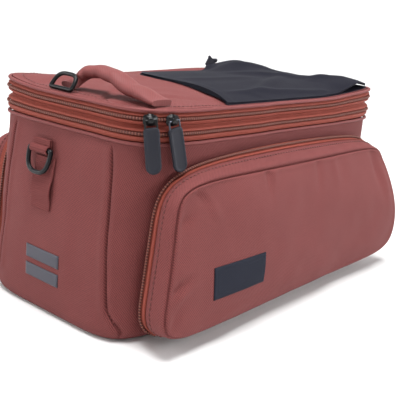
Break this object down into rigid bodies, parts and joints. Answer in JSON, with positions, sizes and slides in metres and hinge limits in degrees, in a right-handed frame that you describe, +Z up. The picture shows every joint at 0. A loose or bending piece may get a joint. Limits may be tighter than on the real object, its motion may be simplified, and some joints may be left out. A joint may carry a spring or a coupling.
{
  "type": "bicycle rack bag",
  "caption": "Soft box bag for a bicycle's rear rack, with a zipped lid, a padded handle, side pockets, a stretch cover on the lid and a ring and light loop at the rear.",
  "frame": {"origin": "on the floor, under the middle of the bag's box", "axes": "+X towards the bag's front end, the rear end with the ring is at -X; +Z up; the label is on the -Y side"},
  "size_m": [0.4143, 0.28, 0.2186],
  "materials": {
    "rust_nylon": "woven nylon",
    "rust_webbing": "woven webbing",
    "zip_tape": "woven zip tape",
    "zip_coil": "satin",
    "stretch_cloth": "stretch knit",
    "dark_webbing": "woven webbing",
    "black_metal": "satin",
    "grey_metal": "satin",
    "pull_rubber": "matt",
    "reflective_film": "matt",
    "woven_label": "woven"
  },
  "bodies": {
    "bag": {"body_piping": "rust_nylon", "body_shell": "rust_nylon", "cover_tab": "dark_webbing", "far_pocket": "rust_nylon", "far_pocket_pull_slider": "black_metal", "far_pocket_zip_coil": "zip_coil", "far_pocket_zip_tape": "zip_tape", "handle": "rust_nylon", "handle_ring": "black_metal", "lid_cover": "stretch_cloth", "lid_panel": "rust_nylon", "light_loop": "rust_webbing", "lower_zip_band": "zip_tape", "lower_zip_coil": "zip_coil", "near_pocket": "rust_nylon", "near_pocket_pull_slider": "black_metal", "near_pocket_zip_coil": "zip_coil", "near_pocket_zip_tape": "zip_tape", "rear_patch_a": "reflective_film", "rear_patch_b": "reflective_film", "rear_pull_slider": "black_metal", "rim_piping": "rust_nylon", "ring_tab": "rust_webbing", "side_label": "woven_label", "side_pull_slider": "black_metal", "upper_zip_band": "zip_tape", "upper_zip_coil": "zip_coil"},
    "rear_ring": {"rear_ring": "black_metal"},
    "rear_pull": {"rear_pull_link": "black_metal", "rear_pull_tab": "pull_rubber"},
    "side_pull": {"side_pull_link": "grey_metal", "side_pull_tab": "pull_rubber"},
    "near_pocket_pull": {"near_pocket_pull_link": "black_metal", "near_pocket_pull_tab": "pull_rubber"},
    "far_pocket_pull": {"far_pocket_pull_link": "black_metal", "far_pocket_pull_tab": "pull_rubber"}
  },
  "joints": [
    {"name": "rear_ring_swing", "type": "hinge", "parent": "bag", "child": "rear_ring", "pos_m": [-0.20192, 0.017, 0.145], "axis": [0, 1, 0], "range_deg": [0, 140]},
    {"name": "rear_pull_swing", "type": "hinge", "parent": "bag", "child": "rear_pull", "pos_m": [-0.18601, -0.09199, 0.1872], "axis": [-0.8009, 0.5824, -0.1392], "range_deg": [0, 110]},
    {"name": "side_pull_swing", "type": "hinge", "parent": "bag", "child": "side_pull", "pos_m": [-0.16823, -0.09989, 0.1872], "axis": [-0.9353, 0.2412, -0.2588], "range_deg": [0, 110]},
    {"name": "near_pocket_pull_swing", "type": "hinge", "parent": "bag", "child": "near_pocket_pull", "pos_m": [0.18545, -0.09589, 0.11115], "axis": [0.4367, -0.8891, 0.137], "range_deg": [0, 110]},
    {"name": "far_pocket_pull_swing", "type": "hinge", "parent": "bag", "child": "far_pocket_pull", "pos_m": [0.18545, 0.09589, 0.11115], "axis": [-0.4367, -0.8891, -0.137], "range_deg": [0, 110]}
  ]
}
